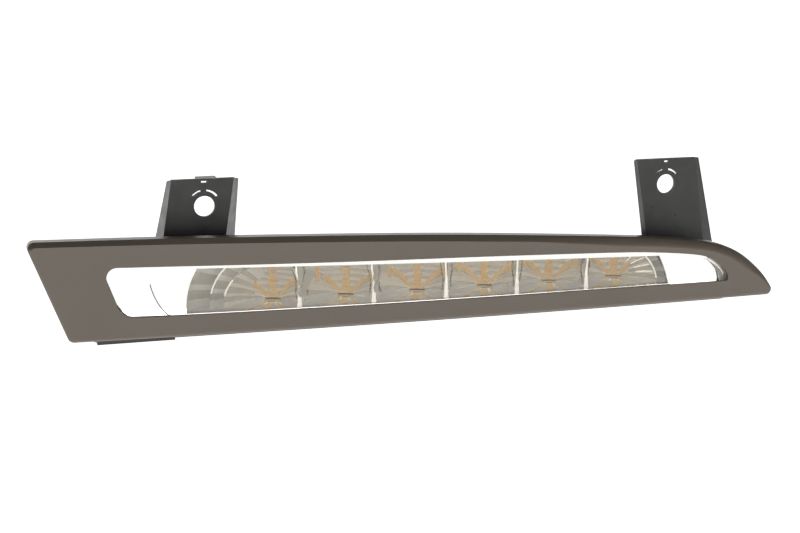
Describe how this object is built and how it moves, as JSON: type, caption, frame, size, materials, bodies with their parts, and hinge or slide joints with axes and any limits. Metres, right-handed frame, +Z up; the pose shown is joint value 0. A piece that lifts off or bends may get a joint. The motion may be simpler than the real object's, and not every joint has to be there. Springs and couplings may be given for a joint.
{
  "type": "daytime running light",
  "caption": "Long narrow vehicle front lamp with a swept trim frame, clear cover, mirror cells lit by small emitters from below, a black rear housing and upright bolt tabs.",
  "frame": {"origin": "midway between the two tab holes, on the rear face of the tabs", "axes": "+X along the lamp through both tab holes, +Y to the rear along the bolts, +Z up; the light leaves towards -Y"},
  "size_m": [0.3926, 0.0716, 0.0822],
  "materials": {
    "bezel_plastic": "satin moulded plastic",
    "clear_cover": "clear moulded polycarbonate",
    "seal_rubber": "matte bead",
    "bright_trim": "metallised",
    "reflector_mirror": "metallised, faceted",
    "housing_plastic": "fine moulded grain",
    "cover_plastic": "fine moulded grain",
    "board_mask": "white solder mask",
    "led_ceramic": "matte",
    "phosphor": "yellow phosphor",
    "gap_pad": "soft matte",
    "bent_aluminium": "mill finish",
    "zinc_screw": "zinc plated",
    "chip_black": "moulded epoxy",
    "ferrite": "ferrite",
    "can_aluminium": "drawn can",
    "resistor_body": "glazed",
    "tinned_blade": "tin plated",
    "membrane": "matte film",
    "cap_plastic": "moulded"
  },
  "bodies": {
    "root": {"trim_bezel": "bezel_plastic", "cover_lens": "clear_cover", "lens_seal": "seal_rubber", "inner_bezel": "bright_trim", "reflector": "reflector_mirror", "rear_housing": "housing_plastic", "rear_cover": "cover_plastic", "cover_seal": "seal_rubber", "led_board": "board_mask", "led_packages": "led_ceramic", "led_phosphors": "phosphor", "thermal_pad": "gap_pad", "heat_sink": "bent_aluminium", "module_screws": "zinc_screw", "driver_chip": "chip_black", "power_inductor": "ferrite", "input_capacitors": "can_aluminium", "chip_resistors": "resistor_body", "protection_diodes": "chip_black", "connector_terminals": "tinned_blade", "vent_membrane": "membrane", "vent_cap": "cap_plastic", "bezel_screws": "zinc_screw", "cover_screws": "zinc_screw", "heat_sink_screws": "zinc_screw"}
  },
  "joints": []
}
